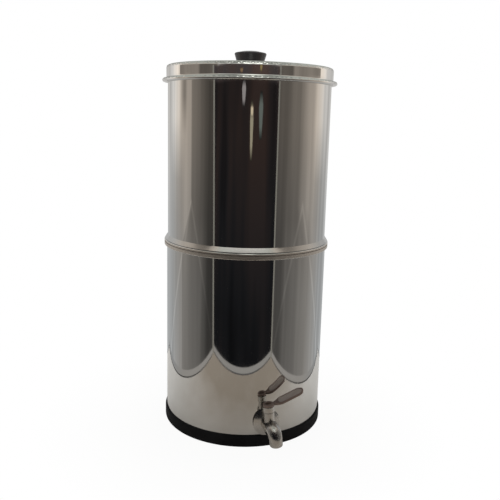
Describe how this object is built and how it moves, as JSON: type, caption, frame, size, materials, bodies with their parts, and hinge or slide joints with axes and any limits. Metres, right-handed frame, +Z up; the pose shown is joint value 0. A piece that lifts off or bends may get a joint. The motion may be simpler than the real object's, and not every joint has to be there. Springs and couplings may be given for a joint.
{
  "type": "gravity water filter with tap",
  "caption": "Stacked polished-steel gravity water filter: lidded upper chamber with ceramic candles in a lower tank with a lever tap.",
  "frame": {"origin": "centre of the base ring's underside, on the surface that the filter stands on", "axes": "+Z up along the chambers' axis, -Y towards the tap, +X to the right seen from the tap's side"},
  "size_m": [0.2348, 0.2766, 0.5164],
  "materials": {
    "polished_steel": "mirror-polished stainless steel",
    "tap_steel": "polished cast stainless steel",
    "lever_steel": "satin cast stainless steel",
    "base_rubber": "matt black rubber",
    "seal_rubber": "black rubber",
    "knob_plastic": "black moulded plastic, satin gloss",
    "candle_ceramic": "unglazed white ceramic",
    "candle_carbon": "pressed carbon block",
    "candle_cap_plastic": "white moulded plastic"
  },
  "bodies": {
    "lower": {"base_ring": "base_rubber", "lower_chamber": "polished_steel", "tap_body": "tap_steel", "tap_escutcheon": "tap_steel", "tap_outer_seal": "seal_rubber", "tap_inner_seal": "seal_rubber", "tap_backnut": "tap_steel", "tap_bonnet": "tap_steel"},
    "upper": {"upper_chamber": "polished_steel", "candle_shell_left": "candle_ceramic", "candle_shell_right": "candle_ceramic", "candle_core_left": "candle_carbon", "candle_core_right": "candle_carbon", "candle_cap_left": "candle_cap_plastic", "candle_cap_right": "candle_cap_plastic", "candle_seal_left": "seal_rubber", "candle_seal_right": "seal_rubber", "wing_nut_left": "candle_cap_plastic", "wing_nut_right": "candle_cap_plastic"},
    "lid": {"lid": "polished_steel", "lid_knob": "knob_plastic", "knob_screw": "tap_steel", "knob_washer": "seal_rubber"},
    "lever": {"tap_spindle": "tap_steel", "spindle_orings": "seal_rubber", "tap_lever": "lever_steel", "lever_screw": "tap_steel"}
  },
  "joints": [
    {"name": "lift_upper", "type": "slide", "parent": "lower", "child": "upper", "axis": [0, 0, 1], "range_m": [0, 0.12]},
    {"name": "lift_lid", "type": "slide", "parent": "upper", "child": "lid", "axis": [0, 0, 1], "range_m": [0, 0.08]},
    {"name": "lever_turn", "type": "hinge", "parent": "lower", "child": "lever", "pos_m": [0, -0.1285, 0.0355], "axis": [-0.0993, 0, 0.9951], "range_deg": [-90, 0]}
  ]
}
